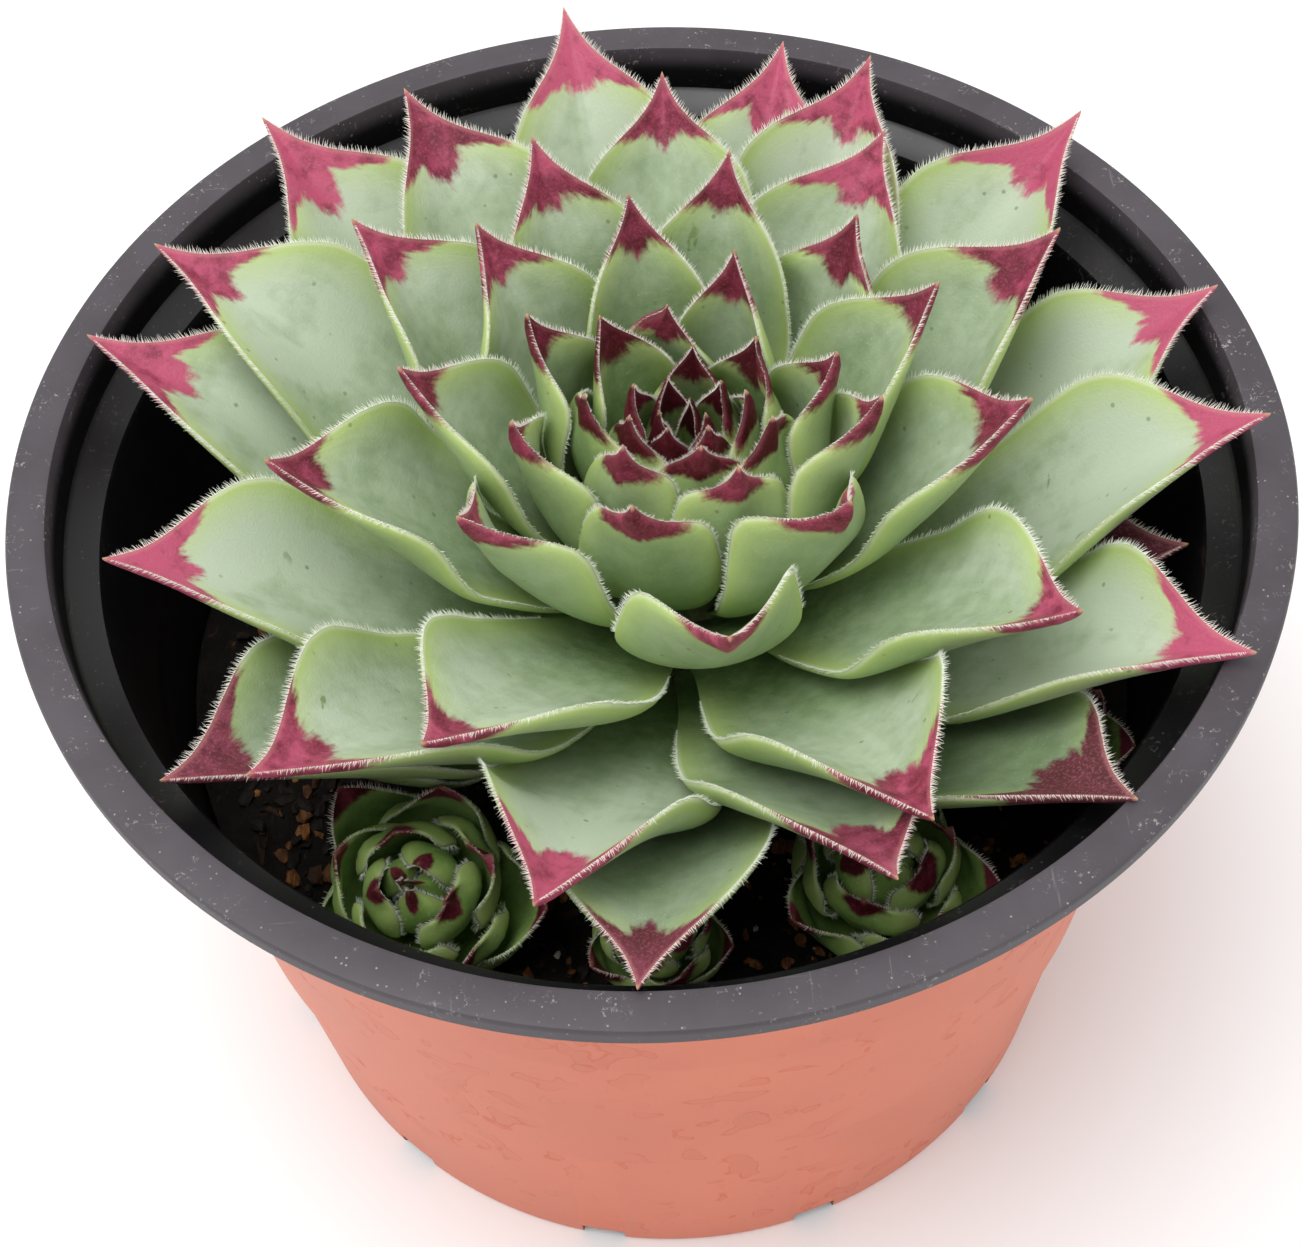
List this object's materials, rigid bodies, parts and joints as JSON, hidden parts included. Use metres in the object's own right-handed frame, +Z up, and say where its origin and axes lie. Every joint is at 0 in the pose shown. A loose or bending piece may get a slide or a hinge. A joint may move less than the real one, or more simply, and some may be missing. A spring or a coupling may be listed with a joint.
{
  "type": "potted succulent",
  "caption": "Low rosette of fleshy pointed leaves with dark red tips, with young side rosettes at its foot, growing in a thin round plastic nursery pot.",
  "frame": {"origin": "centre of the pot's underside, on the plane it stands on", "axes": "+Z up along the pot's axis; -Y toward the side with the two largest side rosettes; +X to the right of that side"},
  "size_m": [0.1, 0.1, 0.0809],
  "materials": {
    "pot_plastic": "satin",
    "soil": "matte",
    "crown": "matte",
    "leaf": "matte",
    "young_leaf": "satin"
  },
  "bodies": {
    "root": {"pot": "pot_plastic", "soil": "soil", "crown": "crown", "bud": "leaf", "leaf_16": "leaf", "leaf_17": "leaf", "leaf_18": "leaf", "leaf_19": "leaf", "leaf_20": "leaf", "leaf_21": "leaf", "leaf_22": "leaf", "leaf_23": "leaf", "leaf_24": "leaf", "leaf_25": "leaf", "leaf_26": "leaf", "leaf_27": "leaf", "leaf_28": "leaf", "leaf_29": "leaf", "leaf_30": "leaf", "leaf_31": "leaf", "leaf_32": "leaf", "leaf_33": "leaf", "leaf_34": "leaf", "leaf_35": "leaf", "leaf_36": "leaf", "leaf_37": "leaf", "leaf_38": "leaf", "leaf_39": "leaf", "leaf_40": "leaf", "leaf_41": "leaf", "leaf_42": "leaf", "leaf_45": "leaf", "leaf_50": "leaf", "leaf_51": "leaf", "leaf_53": "leaf", "leaf_54": "leaf", "leaf_55": "leaf", "leaf_56": "leaf", "leaf_59": "leaf", "leaf_61": "leaf", "leaf_63": "leaf", "leaf_64": "leaf", "leaf_65": "leaf", "leaf_66": "leaf", "leaf_67": "leaf", "leaf_68": "leaf", "leaf_70": "leaf", "leaf_71": "leaf", "leaf_73": "leaf", "leaf_77": "leaf", "leaf_78": "leaf", "leaf_79": "leaf", "leaf_83": "leaf", "side_rosette_far_right": "young_leaf", "side_rosette_front": "young_leaf", "side_rosette_left": "young_leaf", "side_rosette_right": "young_leaf"}
  },
  "joints": []
}
